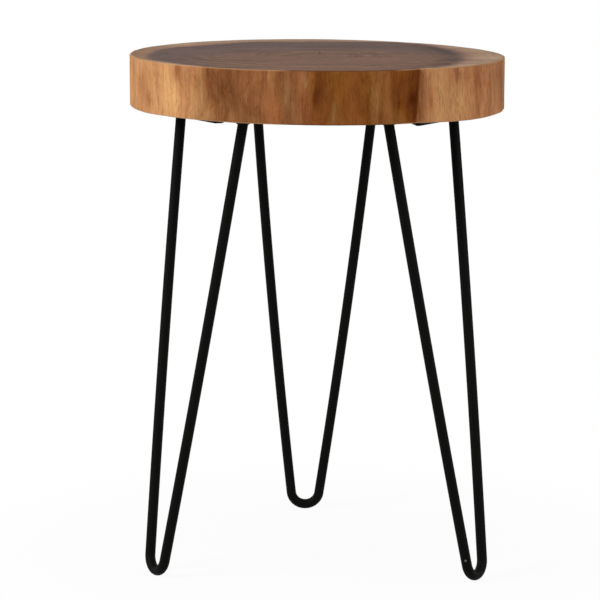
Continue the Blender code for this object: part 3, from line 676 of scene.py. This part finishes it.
def powder_coat(name, spot_place=None):
    """The coat's material, with a small grey spot at the place given."""
    finish, tree, shader = new_finish(name)
    place = add(tree, "ShaderNodeTexCoord", out="Object")
    peel = add(tree, "ShaderNodeTexNoise", {"Vector": place, "Scale": per_mm(PEEL_SIZE), "Detail": 2})
    cloud = add(tree, "ShaderNodeTexNoise", {"Vector": place, "Scale": per_mm(CLOUD_SIZE), "Detail": 3})
    black = add(tree, "ShaderNodeMix", {0: cloud, 6: COAT_BLACK, 7: COAT_PALER}, **BLEND)
    if spot_place:
        reach = add(tree, "ShaderNodeVectorMath", {0: place, 1: spot_place}, out="Value", operation="DISTANCE")
        ragged = add(tree, "ShaderNodeMath", {0: peel, 1: GREY_SPOT_RAGGED, 2: reach}, operation="MULTIPLY_ADD")
        grey_share = add(
            tree, "ShaderNodeMapRange",
            {"Value": ragged, "From Min": GREY_SPOT_FROM, "From Max": GREY_SPOT_TO, "To Min": 1.0, "To Max": 0.0},
        )
        black = add(tree, "ShaderNodeMix", {0: grey_share, 6: black, 7: SPOT_GREY}, **BLEND)
    gloss = add(tree, "ShaderNodeMapRange", {"Value": cloud, "To Min": 0.50, "To Max": 0.58})
    relief = add(tree, "ShaderNodeBump", {"Height": peel, "Strength": 0.25, "Distance": 0.08 * MM})
    feed(tree, shader, {"Base Color": black, "Normal": relief, "Roughness": gloss, "IOR": 1.5})
    shader.inputs["Specular IOR Level"].default_value = 0.038  # matting agent breaks up the mirror image
    return finish


coat = powder_coat("black_satin_powder_coat")
spotted_coat = powder_coat("black_satin_powder_coat_grey_spot", GREY_SPOT)
print("finishes:", coat.name, "and", spotted_coat.name)

# %% [markdown]
# A hairpin leg is one round rod, bent in a press to a narrow V with a tight foot, so its shape is a
# path and a thickness. A curve with a bevel would do for one leg. Geometry Nodes do for all three: the
# script lays the centre line, and the tree sweeps a circle along it and trims both ends level under the
# plate. Its named inputs are the sizes a bender would ask for.

# %% Helpers that build a tree
SLIVER = 0.005 * MM  # points closer than this are one point


def new_tree(name, sizes):
    """A tree with a geometry input and output and named sizes."""
    tree = bpy.data.node_groups.new(name, "GeometryNodeTree")
    tree.interface.new_socket("Geometry", in_out="INPUT", socket_type="NodeSocketGeometry")
    tree.interface.new_socket("Geometry", in_out="OUTPUT", socket_type="NodeSocketGeometry")
    for label, kind in sizes.items():
        tree.interface.new_socket(label, in_out="INPUT", socket_type="NodeSocket" + kind)
    return tree, add(tree, "NodeGroupInput").node.outputs


def end_tree(tree, geometry, finish):
    """Make instances real, give them their finish and hand them out."""
    real = add(tree, "GeometryNodeRealizeInstances", {"Geometry": geometry})
    dressed = add(tree, "GeometryNodeSetMaterial", {"Geometry": real, "Material": finish})
    add(tree, "NodeGroupOutput", {"Geometry": dressed})
    print(tree.name, "tree:", len(tree.nodes), "nodes")


print("trees merge points within", round(SLIVER / MM, 4), "mm")

# %% Helpers that run a tree
EDGE_SEGMENTS, EDGE_ANGLE = 2, 50  # an eased edge is bevelled where it turns by more than this


def plain_mesh(holder, name):
    """The mesh that an object's modifiers give. The modifiers are removed."""
    bpy.context.view_layer.update()
    evaluated = holder.evaluated_get(bpy.context.evaluated_depsgraph_get())
    mesh = bpy.data.meshes.new_from_object(evaluated)
    mesh.name = name
    holder.modifiers.clear()
    return mesh


def grow(name, base, tree, sizes, edge=0):
    """Run a tree on a base mesh, ease its edges, and keep the result as a plain mesh at the origin."""
    holder = put(name + "_base", base)
    modifier = holder.modifiers.new("build", "NODES")
    modifier.node_group = tree
    for socket in tree.interface.items_tree:
        if socket.in_out == "INPUT" and socket.name in sizes:
            modifier[socket.identifier] = sizes[socket.name]
    if edge:
        easing = holder.modifiers.new("edges", "BEVEL")
        easing.width = edge
        easing.segments = EDGE_SEGMENTS
        easing.angle_limit = math.radians(EDGE_ANGLE)
    mesh = plain_mesh(holder, name)
    bpy.data.objects.remove(holder)
    return put(name, mesh)


def line_mesh(name, places, closed=False):
    """A row of points joined by edges, and joined at its ends where it is closed."""
    count = len(places)
    edges = [(i, (i + 1) % count) for i in range(count if closed else count - 1)]
    return new_mesh(name, [tuple(p) for p in places], edges)


print("eased edges have", EDGE_SEGMENTS, "segments")

# %% The rod's tree
rod_tree, size = new_tree("hairpin_rod", {"Rod diameter": "Float", "Sides": "Int", "Seat level": "Float"})
line = add(rod_tree, "GeometryNodeMeshToCurve", {"Mesh": size["Geometry"]})
tangent = add(rod_tree, "GeometryNodeInputTangent")
tip = add(rod_tree, "GeometryNodeCurveEndpointSelection", {"Start Size": 1, "End Size": 1})
for name, value, kind in (("run", tangent, "FLOAT_VECTOR"), ("tip", tip, "BOOLEAN")):
    line = add(
        rod_tree, "GeometryNodeStoreNamedAttribute", {"Geometry": line, "Name": name, "Value": value},
        data_type=kind, domain="POINT",
    )
radius = add(rod_tree, "ShaderNodeMath", {0: size["Rod diameter"], 1: 0.5}, operation="MULTIPLY")
section = add(rod_tree, "GeometryNodeCurvePrimitiveCircle", {"Resolution": size["Sides"], "Radius": radius})
tube = add(rod_tree, "GeometryNodeCurveToMesh", {"Curve": line, "Profile Curve": section, "Fill Caps": True})
run = add(rod_tree, "GeometryNodeInputNamedAttribute", {"Name": "run"}, data_type="FLOAT_VECTOR")
at_tip = add(rod_tree, "GeometryNodeInputNamedAttribute", {"Name": "tip"}, data_type="BOOLEAN")
spot = add(rod_tree, "GeometryNodeInputPosition")
level = add(rod_tree, "ShaderNodeSeparateXYZ", {"Vector": spot}, out="Z")
climb = add(rod_tree, "ShaderNodeSeparateXYZ", {"Vector": run}, out="Z")
short = add(rod_tree, "ShaderNodeMath", {0: size["Seat level"], 1: level}, operation="SUBTRACT")
travel = add(rod_tree, "ShaderNodeMath", {0: short, 1: climb}, operation="DIVIDE")
shift = add(rod_tree, "ShaderNodeVectorMath", {0: run, "Scale": travel}, operation="SCALE")
tube = add(rod_tree, "GeometryNodeSetPosition", {"Geometry": tube, "Selection": at_tip, "Offset": shift})
end_tree(rod_tree, tube, coat)

# %% The centre line of a rod
GAP = 0.0003  # the hairline between two pieces in the CAD model
PLATE_THICKNESS = 0.004
PLATE_UNDERSIDE = SLAB_UNDERSIDE - GAP - PLATE_THICKNESS
SEAT_LEVEL = PLATE_UNDERSIDE - GAP
ROD_DIAMETER = 0.0101
PLATE_CIRCLE_RADIUS, FOOT_CIRCLE_RADIUS = 0.1202, 0.1866
ARM_SPACING, ARM_BOW, BEND_RADIUS = 0.1213, 0.0023, 0.0150
ARM_STEPS, BEND_STEPS = 24, 40


def hairpin_line(foot_out, foot_along):
    """Centre line in the leg's own frame: +X outwards, +Y along the plate."""
    foot = Vector((FOOT_CIRCLE_RADIUS + foot_out, 0, ROD_DIAMETER / 2))
    crown = Vector((PLATE_CIRCLE_RADIUS, 0, SEAT_LEVEL))
    up = (crown - foot).normalized()
    length = (crown - foot).length
    centre = Vector((foot_along, BEND_RADIUS))
    arms, angles = {}, {}
    for side in (1, -1):
        top = Vector((side * ARM_SPACING / 2, length))
        away = top - centre
        angles[side] = math.atan2(away.y, away.x) - side * math.acos(BEND_RADIUS / away.length)
        low = centre + BEND_RADIUS * Vector((math.cos(angles[side]), math.sin(angles[side])))
        shares = [step / ARM_STEPS for step in range(ARM_STEPS)]
        arms[side] = [top.lerp(low, s) + Vector((side * ARM_BOW * 4 * s * (1 - s), 0)) for s in shares]
    sweep = (angles[-1] - angles[1]) % math.tau - math.tau
    turns = [angles[1] + sweep * step / BEND_STEPS for step in range(BEND_STEPS + 1)]
    bend = [centre + BEND_RADIUS * Vector((math.cos(a), math.sin(a))) for a in turns]
    return [foot + Vector((0, flat.x, 0)) + up * flat.y for flat in arms[1] + bend + arms[-1][::-1]]


print("centre line:", len(hairpin_line(0, 0)), "points")

# %% Bend the three rods
LEGS = (  # side, direction; how far the foot strays outwards and along the plate, the plate outwards
    ("left", 211.7, -0.0063, -0.0105, -0.008),
    ("right", 327.0, 0.0, 0.0, 0.004),
    ("back", 91.0, -0.0030, 0.0095, 0.0),
)
ROD_SIDES, ROD_SHARP = 32, 50
leg_frames = {side: Matrix.Rotation(math.radians(direction), 4, "Z") for side, direction, *_ in LEGS}
rods = {}
for side, _, foot_out, foot_along, _ in LEGS:
    centre_line = [leg_frames[side] @ p for p in hairpin_line(foot_out, foot_along)]
    base = line_mesh("centre_line_" + side, centre_line)
    sizes = {"Rod diameter": ROD_DIAMETER, "Sides": ROD_SIDES, "Seat level": SEAT_LEVEL}
    rods[side] = grow("hairpin_rod_" + side, base, rod_tree, sizes)
    smooth(rods[side].data, ROD_SHARP)
    low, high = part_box(side + "_leg_rod")
    spans = [round(v, 4) for v in high - low]
    print(rods[side].name, len(rods[side].data.polygons), "faces; CAD node spans", spans)
rods["right"].data.materials[0] = spotted_coat

# %% [markdown]
# Each leg is held by a small steel plate, cut from 4 mm flat stock as one piece: a bar carries both
# arms, a tab spreads outwards from it to two pointed corners, and a tongue reaches inwards. Cutting the
# holes with Booleans would work. A filled outline is neater: a closed line whose corners are filleted,
# circles set on points for the holes, and one Fill Curve that makes a face of them all. The face is
# thickened, and a Bevel modifier takes the sharpness off its edges as tumbling does.

# %% The plate's tree
FILLET_STEPS, HOLE_SIDES = 3, 24
plate_tree, size = new_tree(
    "mounting_plate", {"Thickness": "Float", "Corner radius": "Float", "Hole diameter": "Float"},
)
rim = add(plate_tree, "GeometryNodeMeshToCurve", {"Mesh": size["Geometry"]})
rim = add(
    plate_tree, "GeometryNodeFilletCurve",
    {"Curve": rim, "Count": FILLET_STEPS, "Radius": size["Corner radius"], "Limit Radius": True}, mode="POLY",
)
radius = add(plate_tree, "ShaderNodeMath", {0: size["Hole diameter"], 1: 0.5}, operation="MULTIPLY")
drill = add(plate_tree, "GeometryNodeCurvePrimitiveCircle", {"Resolution": HOLE_SIDES, "Radius": radius})
is_hole = add(plate_tree, "GeometryNodeInputNamedAttribute", {"Name": "hole"}, data_type="BOOLEAN")
holes = add(
    plate_tree, "GeometryNodeInstanceOnPoints",
    {"Points": size["Geometry"], "Selection": is_hole, "Instance": drill},
)
holes = add(plate_tree, "GeometryNodeRealizeInstances", {"Geometry": holes})
drawing = add(plate_tree, "GeometryNodeJoinGeometry", {"Geometry": [rim, holes]})
sheet = add(plate_tree, "GeometryNodeFillCurve", {"Curve": drawing}, mode="NGONS")
thick = add(
    plate_tree, "GeometryNodeExtrudeMesh",
    {"Mesh": sheet, "Offset Scale": size["Thickness"], "Individual": False},
)
under = add(plate_tree, "GeometryNodeFlipFaces", {"Mesh": sheet})
plate = add(plate_tree, "GeometryNodeJoinGeometry", {"Geometry": [thick, under]})
plate = add(plate_tree, "GeometryNodeMergeByDistance", {"Geometry": plate, "Distance": SLIVER})
end_tree(plate_tree, plate, coat)

# %% The plate's outline
BAR_WIDTH, BAR_END_STEPS = 0.020, 20
TAB_REACH, TAB_LENGTH, TAB_SHIFT = 0.036, 0.134, -0.0075
TONGUE_REACH, TONGUE_LENGTH = 0.036, 0.084
TONGUE_CORNER_RADIUS, TONGUE_CORNER_STEPS = 0.010, 8
SCREW_TAB_INSET, SCREW_ROW_SPACING, SCREW_SPACING = 0.020, 0.040, 0.060


def plate_outline(plate_out):
    """Corners of a plate, measured from the middle of the line between its arms."""
    half_bar = BAR_WIDTH / 2
    tab_edge = TAB_REACH + plate_out
    turn_at = Vector((plate_out - TONGUE_REACH, TONGUE_LENGTH / 2)) + Vector((1, -1)) * TONGUE_CORNER_RADIUS
    outline = []
    for side in (1, -1):
        tip = TAB_SHIFT + side * TAB_LENGTH / 2
        half = [(tab_edge, tip), (half_bar, tip - side * (tab_edge - half_bar))]
        for step in range(BAR_END_STEPS + 1):
            turn = math.pi * step / BAR_END_STEPS
            half.append((half_bar * math.cos(turn), side * (ARM_SPACING / 2 + half_bar * math.sin(turn))))
        half.append((-half_bar, side * TONGUE_LENGTH / 2))
        for step in range(TONGUE_CORNER_STEPS + 1):
            turn = math.pi / 2 * (1 + step / TONGUE_CORNER_STEPS)
            corner = turn_at + Vector((math.cos(turn), math.sin(turn))) * TONGUE_CORNER_RADIUS
            half.append((corner.x, side * corner.y))
        outline += half[::side]
    return outline


def screw_places(plate_out):
    """The four screws of a plate, two on its tab and two on its tongue."""
    outer = TAB_REACH + plate_out - SCREW_TAB_INSET
    rows = (outer - SCREW_ROW_SPACING, outer)
    return [(x, y) for x in rows for y in (-SCREW_SPACING / 2, SCREW_SPACING / 2)]


print("plate outline:", len(plate_outline(0)), "corners")

# %% Cut the three plates
PLATE_CORNER_RADIUS, PLATE_EDGE = 0.0020, 0.5 * MM
SCREW_DIAMETER, SCREW_HOLE_CLEARANCE = 0.0048, 0.0004
sizes = {
    "Thickness": PLATE_THICKNESS,
    "Corner radius": PLATE_CORNER_RADIUS,
    "Hole diameter": SCREW_DIAMETER + 2 * SCREW_HOLE_CLEARANCE,
}
plates = {}
for side, *_, plate_out in LEGS:
    outline, holes = plate_outline(plate_out), screw_places(plate_out)
    base = line_mesh("plate_outline_" + side, [(x, y, 0) for x, y in outline], closed=True)
    base.vertices.add(len(holes))
    base.attributes.new("hole", "BOOLEAN", "POINT")
    for number, (x, y) in enumerate(holes, start=len(outline)):
        base.vertices[number].co = (x, y, 0)
        base.attributes["hole"].data[number].value = True
    plates[side] = grow("mounting_plate_" + side, base, plate_tree, sizes, edge=PLATE_EDGE)
    onto = leg_frames[side] @ Matrix.Translation((PLATE_CIRCLE_RADIUS, 0, PLATE_UNDERSIDE))
    plates[side].data.transform(onto)
    low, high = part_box(side + "_leg_plate")
    levels = [round(v.co.z, 5) for v in plates[side].data.vertices]
    print(plates[side].name, "from", min(levels), "to", max(levels), "CAD", round(low.z, 5), round(high.z, 5))

# %% [markdown]
# Each arm is welded to its plate all round. A hand-laid bead is a row of small overlapping puddles. A
# plain ring would look cast, so the tree sets flattened balls along a ring where the arm meets the
# plate, fuses them into one solid, and presses flat what would stand above the plate's underside.

# %% The weld's tree
BALL_DETAIL = 3
weld_tree, size = new_tree("weld_bead", {"Puddles": "Int", "Bead size": "Vector", "Seat level": "Float"})
ring = add(weld_tree, "GeometryNodeMeshToCurve", {"Mesh": size["Geometry"]})
ring = add(weld_tree, "GeometryNodeSetCurveNormal", {"Curve": ring}, mode="Z_UP")
spots = add(weld_tree, "GeometryNodeCurveToPoints", {"Curve": ring, "Count": size["Puddles"]}, mode="COUNT")
spots = spots.node.outputs
ball = add(weld_tree, "GeometryNodeMeshIcoSphere", {"Radius": 1.0, "Subdivisions": BALL_DETAIL})
puddles = add(
    weld_tree, "GeometryNodeInstanceOnPoints",
    {"Points": spots["Points"], "Instance": ball, "Rotation": spots["Rotation"], "Scale": size["Bead size"]},
)
puddles = add(weld_tree, "GeometryNodeRealizeInstances", {"Geometry": puddles})
bead = add(
    weld_tree, "GeometryNodeMeshBoolean", {"Mesh 2": [puddles], "Self Intersection": True},
    operation="UNION", solver="EXACT",
)
bead = add(weld_tree, "GeometryNodeMergeByDistance", {"Geometry": bead, "Distance": SLIVER})
spot = add(weld_tree, "GeometryNodeInputPosition")
apart = add(weld_tree, "ShaderNodeSeparateXYZ", {"Vector": spot}).node.outputs
level = add(weld_tree, "ShaderNodeMath", {0: apart["Z"], 1: size["Seat level"]}, operation="MINIMUM")
pressed = add(weld_tree, "ShaderNodeCombineXYZ", {"X": apart["X"], "Y": apart["Y"], "Z": level})
bead = add(weld_tree, "GeometryNodeSetPosition", {"Geometry": bead, "Position": pressed})
end_tree(weld_tree, bead, coat)

# %% Where a bead runs
RING_STEPS = 48


def weld_ring(top, below):
    """Points round an arm where it meets its plate, in the leg's own frame."""
    run = (top - below).normalized()
    across = (Vector((1, 0, 0)) - run * run.x).normalized()
    beside = run.cross(across)
    places = []
    for step in range(RING_STEPS):
        turn = math.tau * step / RING_STEPS
        spot = top + (across * math.cos(turn) + beside * math.sin(turn)) * ROD_DIAMETER / 2
        places.append(spot + run * ((SEAT_LEVEL - spot.z) / run.z))
    return places


print("weld rings of", RING_STEPS, "points")

# %% Lay the welds
PUDDLES = 13  # on a full-size bead; a smaller bead has more of them, each smaller, so that they still fuse
PUDDLE_SIZE = Vector((3.6, 4.0, 2.3)) * MM
BEAD_SCALES = {"left": (0.45, 1.0), "right": (1.0, 0.5), "back": (1.0, 1.0)}  # hand-laid, so uneven
WELD_SHARP = 60
welds = {}
for side, _, foot_out, foot_along, _ in LEGS:
    path = hairpin_line(foot_out, foot_along)
    beads = []
    for top, below, bead_scale in zip((path[0], path[-1]), (path[1], path[-2]), BEAD_SCALES[side]):
        places = [leg_frames[side] @ p for p in weld_ring(top, below)]
        base = line_mesh("weld_ring_" + side, places, closed=True)
        sizes = {"Puddles": round(PUDDLES / bead_scale), "Bead size": PUDDLE_SIZE * bead_scale}
        beads.append(grow("weld_bead", base, weld_tree, {**sizes, "Seat level": SEAT_LEVEL}))
    shape = bmesh.new()
    for bead in beads:
        shape.from_mesh(bead.data)
    welds[side], spare = beads
    welds[side].name = "weld_beads_" + side
    shape.to_mesh(welds[side].data)
    shape.free()
    bpy.data.objects.remove(spare)
    smooth(welds[side].data, WELD_SHARP)
    print(welds[side].name, len(welds[side].data.polygons), "faces")

# %% [markdown]
# Twelve pan-head wood screws hold the plates to the slab. They are alike, so one screw is turned from
# its profile, its cross recess is cut, and a tree sets copies on the twelve places, each turned by a
# seeded random angle as a driver would leave it. Twelve modelled screws would all have to be mended
# whenever one size changes.

# %% Turn one screw
SCREW_LENGTH, SCREW_POINT_LENGTH = 0.030, 0.007
SCREW_HEAD_DIAMETER, SCREW_HEAD_HEIGHT, SCREW_HEAD_EDGE = 0.0095, 0.0032, 0.0010
HEAD_RADIUS, SHANK_RADIUS = SCREW_HEAD_DIAMETER / 2, SCREW_DIAMETER / 2
DOME_HEIGHT, DOME_STEPS, HEAD_CHAMFER = SCREW_HEAD_HEIGHT - SCREW_HEAD_EDGE, 6, 0.1 * MM
SCREW_SIDES = 32
profile = []
for step in range(DOME_STEPS + 1):
    lean = math.pi / 2 * step / DOME_STEPS
    profile.append((HEAD_RADIUS * math.sin(lean), -SCREW_HEAD_EDGE - DOME_HEIGHT * math.cos(lean)))
profile += [
    (HEAD_RADIUS, -HEAD_CHAMFER),
    (HEAD_RADIUS - HEAD_CHAMFER, 0),
    (SHANK_RADIUS, 0),
    (SHANK_RADIUS, SCREW_LENGTH - SCREW_POINT_LENGTH),
    (0, SCREW_LENGTH),
]
shape = bmesh.new()
corners = [shape.verts.new((r, 0, z)) for r, z in profile]
edges = [shape.edges.new(pair) for pair in zip(corners, corners[1:])]
bmesh.ops.spin(
    shape, geom=corners + edges, cent=(0, 0, 0), axis=(0, 0, 1), angle=math.tau, steps=SCREW_SIDES,
    use_merge=True,
)
bmesh.ops.remove_doubles(shape, verts=shape.verts, dist=SLIVER)
bmesh.ops.recalc_face_normals(shape, faces=shape.faces)
screw_mesh = bpy.data.meshes.new("screw")
shape.to_mesh(screw_mesh)
shape.free()
screw = put("screw", screw_mesh)
print("screw blank:", len(screw_mesh.polygons), "faces")

# %% Shape the driver's tip
RECESS_REACH, RECESS_WIDTH, RECESS_DEPTH, RECESS_TAPER = 2.5 * MM, 0.55 * MM, 2.0 * MM, 0.45
RECESS_ABOVE = 0.5 * MM  # the tip stands proud of the head
cross = []
for quarter in range(4):
    turn = Matrix.Rotation(quarter * math.pi / 2, 2)
    for x, y in ((RECESS_WIDTH, RECESS_WIDTH), (RECESS_WIDTH, RECESS_REACH), (-RECESS_WIDTH, RECESS_REACH)):
        cross.append(turn @ Vector((x, y)))
shape = bmesh.new()
mouth = [shape.verts.new((*p, -SCREW_HEAD_HEIGHT - RECESS_ABOVE)) for p in cross]
bottom = [shape.verts.new((*p * RECESS_TAPER, -SCREW_HEAD_HEIGHT + RECESS_DEPTH)) for p in cross]
shape.faces.new(mouth)
shape.faces.new(bottom[::-1])
for i in range(len(cross)):
    j = (i + 1) % len(cross)
    shape.faces.new((mouth[j], mouth[i], bottom[i], bottom[j]))
bmesh.ops.recalc_face_normals(shape, faces=shape.faces)
cutter_mesh = bpy.data.meshes.new("driver_tip")
shape.to_mesh(cutter_mesh)
shape.free()
cutter = put("driver_tip", cutter_mesh)
print("driver tip:", len(cutter_mesh.polygons), "faces")

# %% Cut the cross recess
SCREW_SHARP = 35
recess = screw.modifiers.new("recess", "BOOLEAN")
recess.operation = "DIFFERENCE"
recess.object = cutter
screw.data = plain_mesh(screw, "screw_cut")
bpy.data.objects.remove(cutter)
shape = bmesh.new()
shape.from_mesh(screw.data)
bmesh.ops.remove_doubles(shape, verts=shape.verts, dist=SLIVER)
shape.to_mesh(screw.data)
shape.free()
smooth(screw.data, SCREW_SHARP)

# %% [markdown]
# Black oxide is a thin grown skin on the screws' steel, not a paint. The steel's own dull glint stays, so
# the finish keeps most of its metallic reflection, dark and a little blotchy where oil has been wiped off.

# %% Black oxide
OXIDE_DARK, OXIDE_WIPED = colour("#1B1B1C"), colour("#34322F")
BLOTCH_SIZE = 2.5  # in millimetres
oxide, tree, shader = new_finish("black_oxide_steel")
place = add(tree, "ShaderNodeTexCoord", out="Object")
cloud = add(tree, "ShaderNodeTexNoise", {"Vector": place, "Scale": per_mm(BLOTCH_SIZE), "Detail": 3})
skin = add(tree, "ShaderNodeMix", {0: cloud, 6: OXIDE_DARK, 7: OXIDE_WIPED}, **BLEND)
gloss = add(tree, "ShaderNodeMapRange", {"Value": cloud, "To Min": 0.38, "To Max": 0.55})
feed(tree, shader, {"Base Color": skin, "Roughness": gloss, "Metallic": 0.85})
print("finish:", oxide.name)

# %% The screws' tree
screw_tree, size = new_tree("plate_screws", {"Screw": "Object", "Turn seed": "Int"})
shape_in = add(screw_tree, "GeometryNodeObjectInfo", {"Object": size["Screw"]}, out="Geometry")
turn = add(
    screw_tree, "FunctionNodeRandomValue", {"Min": 0.0, "Max": math.pi / 2, "Seed": size["Turn seed"]}, out=1,
    data_type="FLOAT",
)
driven = add(screw_tree, "ShaderNodeCombineXYZ", {"Z": turn})
set_in = add(
    screw_tree, "GeometryNodeInstanceOnPoints",
    {"Points": size["Geometry"], "Instance": shape_in, "Rotation": driven},
)
end_tree(screw_tree, set_in, oxide)

# %% Drive the twelve screws
TURN_SEED = 7
places = []
for side, *_, plate_out in LEGS:
    onto = leg_frames[side] @ Matrix.Translation((PLATE_CIRCLE_RADIUS, 0, SEAT_LEVEL))
    places += [tuple(onto @ Vector((x, y, 0))) for x, y in screw_places(plate_out)]
base = new_mesh("screw_places", places)
plate_screws = grow("plate_screws", base, screw_tree, {"Screw": screw, "Turn seed": TURN_SEED})
bpy.data.objects.remove(screw)
print(plate_screws.name, len(plate_screws.data.polygons), "faces on", len(places), "places")

# %% [markdown]
# Fasten each finished piece to the frame: it rides on root, and the CAD nodes it stands for are hidden.

# %% Fasten the pieces
def fasten(piece, slot, *nodes):
    """Tie a finished piece to the one body and hide the CAD nodes it stands for. slot is not used."""
    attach(piece, "root")
    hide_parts(*nodes)


fasten(trunk_slice, "slab", "top_slab")
for side, *_ in LEGS:
    leg = side + "_leg_"
    fasten(rods[side], "leg_rod", leg + "rod")
    fasten(plates[side], "leg_plate", leg + "plate")
    fasten(welds[side], "leg_weld", leg + "weld_1", leg + "weld_2")
fasten(plate_screws, "screw", *[f"{side}_leg_screw_{n}" for side, *_ in LEGS for n in (1, 2, 3, 4)])

# %% [markdown]
# The photo has a plain white ground. The floor here is a large sheet of matt white paper, too rough to
# hold a mirror image of the table. It lights the table from below as paper would, and to the camera
# nearly all of it counts as pure white, so the ground stays white and the rest keeps a faint shadow
# under the feet, inside a painted pool of faint shade near the middle. Further out all of it is white,
# so no horizon shows. A brighter lamp would whiten the paper too, and bleach the wood. From below the
# sheet is clear, so that the underside can be looked at.

# %% Lay the floor
FLOOR_REACH = 6
floor_corners = [(x * FLOOR_REACH, y * FLOOR_REACH, 0) for x, y in ((-1, -1), (1, -1), (1, 1), (-1, 1))]
floor = put("studio_floor", new_mesh("studio_floor", floor_corners, faces=[(0, 1, 2, 3)]))
print("floor:", 2 * FLOOR_REACH, "m wide")

# %% Paper
# Near the middle a little of the lit paper shows through the white: a painted pool of faint shade, with the
# real shadow in it.
FADE_FROM, FADE_TO, WHITE_SHARE = 0.12, 0.5, 0.93  # metres from the middle, and the share at the middle
WHITE = (1, 1, 1, 1)


def seen_rays(tree):
    """1 for the rays that look at the ground, straight or by way of a shiny or clear surface."""
    rays = add(tree, "ShaderNodeLightPath").node.outputs
    seen = rays["Is Camera Ray"]
    for other in ("Is Glossy Ray", "Is Transmission Ray"):
        seen = add(tree, "ShaderNodeMath", {0: seen, 1: rays[other]}, operation="MAXIMUM")
    return seen


paper, tree, shader = new_finish("matt_white_paper")
feed(tree, shader, {"Base Color": colour("#E6E6E6"), "Roughness": 0.9})
place = add(tree, "ShaderNodeTexCoord", out="Object")
reach = add(tree, "ShaderNodeVectorMath", {0: place}, out="Value", operation="LENGTH")
white_share = add(
    tree, "ShaderNodeMapRange",
    {"Value": reach, "From Min": FADE_FROM, "From Max": FADE_TO, "To Min": WHITE_SHARE, "To Max": 1.0},
    **SMOOTH,
)
lit = add(tree, "ShaderNodeMath", {0: seen_rays(tree), 1: white_share}, operation="MULTIPLY")
white = add(tree, "ShaderNodeEmission", {"Color": WHITE, "Strength": 1.0})
sheet = add(tree, "ShaderNodeMixShader", {0: lit, 1: shader.outputs[0], 2: white})
from_below = add(tree, "ShaderNodeNewGeometry", out="Backfacing")
clear = add(tree, "ShaderNodeBsdfTransparent")
sheet = add(tree, "ShaderNodeMixShader", {0: from_below, 1: sheet, 2: clear})
feed(tree, tree.nodes["Material Output"], {"Surface": sheet})
floor.data.materials.append(paper)
print("finish:", paper.name, "on", floor.name)

# %% [markdown]
# The room gives a weak even light from all sides. To the camera it is pure white, and so it is in what
# the satin coat mirrors. That white is only seen, and hardly lights the wood.

# %% White room
ROOM_STRENGTH = 0.22
world = bpy.data.worlds.new("studio")
scene.world = world
world.use_nodes = True
tree = world.node_tree
room = tree.nodes["Background"]
feed(tree, room, {"Color": WHITE, "Strength": ROOM_STRENGTH})
back = add(tree, "ShaderNodeBackground", {"Color": WHITE, "Strength": 1.0})
walls = add(tree, "ShaderNodeMixShader", {0: seen_rays(tree), 1: room.outputs[0], 2: back})
feed(tree, tree.nodes["World Output"], {"Surface": walls})
print("room light:", ROOM_STRENGTH)

# %% [markdown]
# The brightest wood in the photo is at the left of the side and the next at the right, while the middle
# falls off. So two softboxes stand low at the left and the right front: a key and a larger, weaker fill.

# %% Softboxes
SOFTBOXES = (  # name, direction in degrees, height above the horizon, distance, side, watts
    ("key", 208, 28, 2.2, 0.8, 41),
    ("fill", 328, 24, 2.4, 1.5, 24),
)
AIM = Vector((0, 0, 0.40))  # a little below the slab
for name, direction, height, distance, side, watts in SOFTBOXES:
    lamp = bpy.data.lights.new(name, "AREA")
    lamp.size = side
    lamp.energy = watts
    softbox = put(name, lamp)
    a, e = math.radians(direction), math.radians(height)
    away = Vector((math.cos(a) * math.cos(e), math.sin(a) * math.cos(e), math.sin(e)))
    softbox.location = AIM + away * distance
    softbox.rotation_euler = away.to_track_quat("Z", "Y").to_euler()
print("softboxes:", [row[0] for row in SOFTBOXES])

# %% [markdown]
# The camera was fitted to the legs and the rims in the photo. It stands 2.75 m off with a long lens and
# looks down by about ten degrees, so the legs hardly converge and the top shows as a flat ellipse. The plain
# view transform leaves the finishes' colours as they are written above.

# %% Camera
CAMERA_PLACE, CAMERA_PITCH, CAMERA_YAW = (0, -2.7515, 0.7436), 9.942, 0.356
CAMERA_LENS, SENSOR_WIDTH = 167.08, 36
camera = put("camera", bpy.data.cameras.new("camera"))
camera.data.sensor_width = SENSOR_WIDTH
camera.data.lens = CAMERA_LENS
camera.location = CAMERA_PLACE
camera.rotation_euler = (math.radians(90 - CAMERA_PITCH), 0, math.radians(CAMERA_YAW))
scene.camera = camera
scene.view_settings.view_transform = "Standard"
print("camera at", CAMERA_PLACE, "lens", CAMERA_LENS)
